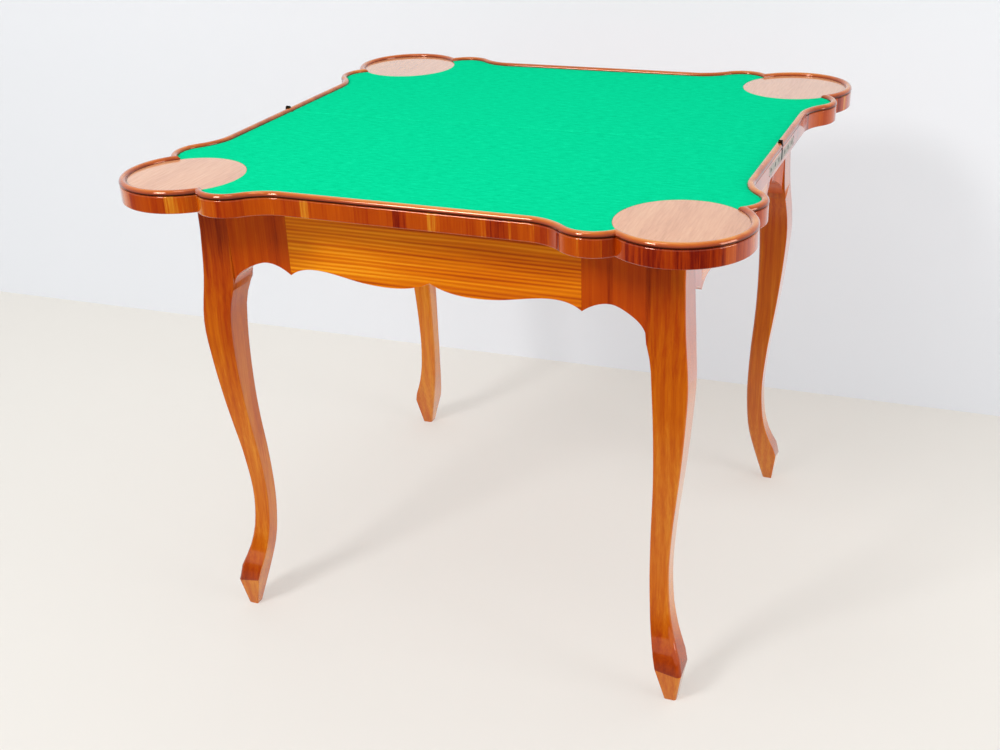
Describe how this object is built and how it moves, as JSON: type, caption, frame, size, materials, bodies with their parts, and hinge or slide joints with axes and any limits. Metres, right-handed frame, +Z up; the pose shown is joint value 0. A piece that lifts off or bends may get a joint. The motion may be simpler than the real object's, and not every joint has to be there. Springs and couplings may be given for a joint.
{
  "type": "folding game table",
  "caption": "Square game table with a baize field, candle discs and scalloped apron; its top leaf folds over and its rear frame closes on folding sides.",
  "frame": {"origin": "on the floor under the middle of the open top", "axes": "+Z up, X along the fold between the leaves, -Y towards the front"},
  "size_m": [0.909, 0.909, 0.7536],
  "materials": {
    "fruitwood": "French-polished fruitwood, gloss",
    "crossband": "upright-grain veneer, gloss",
    "disc_veneer": "veneer, gloss",
    "baize": "napped wool cloth",
    "carcass_wood": "plain sawn wood",
    "brass": "worn brass",
    "steel": "darkened steel"
  },
  "bodies": {
    "front_frame": {"front_right_leg": "fruitwood", "front_right_face_block": "fruitwood", "front_right_side_block": "fruitwood", "front_left_leg": "fruitwood", "front_left_face_block": "fruitwood", "front_left_side_block": "fruitwood", "front_frame_hinge_leaves": "brass", "front_frame_hinge_screws": "steel", "front_apron": "fruitwood", "front_corner_blocks": "carcass_wood", "front_leaf_panel": "fruitwood", "front_leaf_rim": "fruitwood", "front_leaf_crossband": "crossband", "front_leaf_baize": "baize", "front_right_candle_disc": "disc_veneer", "front_right_leaf_hinge_plate": "brass", "front_left_candle_disc": "disc_veneer", "front_left_leaf_hinge_plate": "brass", "front_leaf_hinge_screws": "steel", "front_batten": "carcass_wood", "front_batten_screws": "steel", "front_hinge_pins": "steel", "leaf_hinge_pins": "steel"},
    "rear_leaf": {"rear_leaf_panel": "fruitwood", "rear_leaf_rim": "fruitwood", "rear_leaf_crossband": "crossband", "rear_leaf_baize": "baize", "rear_right_candle_disc": "disc_veneer", "rear_right_leaf_hinge_plate": "brass", "rear_left_candle_disc": "disc_veneer", "rear_left_leaf_hinge_plate": "brass", "rear_leaf_hinge_screws": "steel"},
    "right_front_flap_body": {"right_front_flap": "fruitwood", "right_front_flap_hinge_leaves": "brass", "right_front_flap_hinge_screws": "steel", "right_middle_hinge_pin": "steel"},
    "right_rear_flap_body": {"right_rear_flap": "fruitwood", "right_rear_flap_hinge_leaves": "brass", "right_rear_flap_hinge_screws": "steel", "right_rear_hinge_pin": "steel"},
    "left_front_flap_body": {"left_front_flap": "fruitwood", "left_front_flap_hinge_leaves": "brass", "left_front_flap_hinge_screws": "steel", "left_middle_hinge_pin": "steel"},
    "left_rear_flap_body": {"left_rear_flap": "fruitwood", "left_rear_flap_hinge_leaves": "brass", "left_rear_flap_hinge_screws": "steel", "left_rear_hinge_pin": "steel"},
    "rear_frame": {"rear_right_leg": "fruitwood", "rear_right_face_block": "fruitwood", "rear_right_side_block": "fruitwood", "rear_left_leg": "fruitwood", "rear_left_face_block": "fruitwood", "rear_left_side_block": "fruitwood", "rear_frame_hinge_leaves": "brass", "rear_frame_hinge_screws": "steel", "rear_apron": "fruitwood", "rear_corner_blocks": "carcass_wood"}
  },
  "joints": [
    {"name": "leaf_fold", "type": "hinge", "parent": "front_frame", "child": "rear_leaf", "pos_m": [0, 0, 0.7502], "axis": [1, 0, 0], "range_deg": [0, 180]},
    {"name": "left_front_flap_swing", "type": "hinge", "parent": "front_frame", "child": "left_front_flap_body", "pos_m": [-0.334, -0.21275, 0.66267], "axis": [0, 0, -1], "range_deg": [0, 90]},
    {"name": "left_flap_fold", "type": "hinge", "parent": "left_front_flap_body", "child": "left_rear_flap_body", "pos_m": [-0.354, 0, 0.66267], "axis": [0, 0, 1], "range_deg": [0, 180]},
    {"name": "rear_frame_close", "type": "hinge", "parent": "left_rear_flap_body", "child": "rear_frame", "pos_m": [-0.334, 0.21275, 0.66267], "axis": [0, 0, -1], "range_deg": [0, 90]},
    {"name": "right_front_flap_swing", "type": "hinge", "parent": "front_frame", "child": "right_front_flap_body", "pos_m": [0.334, -0.21275, 0.66267], "axis": [0, 0, 1], "range_deg": [0, 90]},
    {"name": "right_flap_fold", "type": "hinge", "parent": "right_front_flap_body", "child": "right_rear_flap_body", "pos_m": [0.354, 0, 0.66267], "axis": [0, 0, -1], "range_deg": [0, 180]}
  ],
  "couplings": [
    {"joint": "left_front_flap_swing", "follows": "rear_frame_close", "ratio": 1},
    {"joint": "left_flap_fold", "follows": "rear_frame_close", "ratio": 2},
    {"joint": "right_front_flap_swing", "follows": "rear_frame_close", "ratio": 1},
    {"joint": "right_flap_fold", "follows": "rear_frame_close", "ratio": 2}
  ]
}
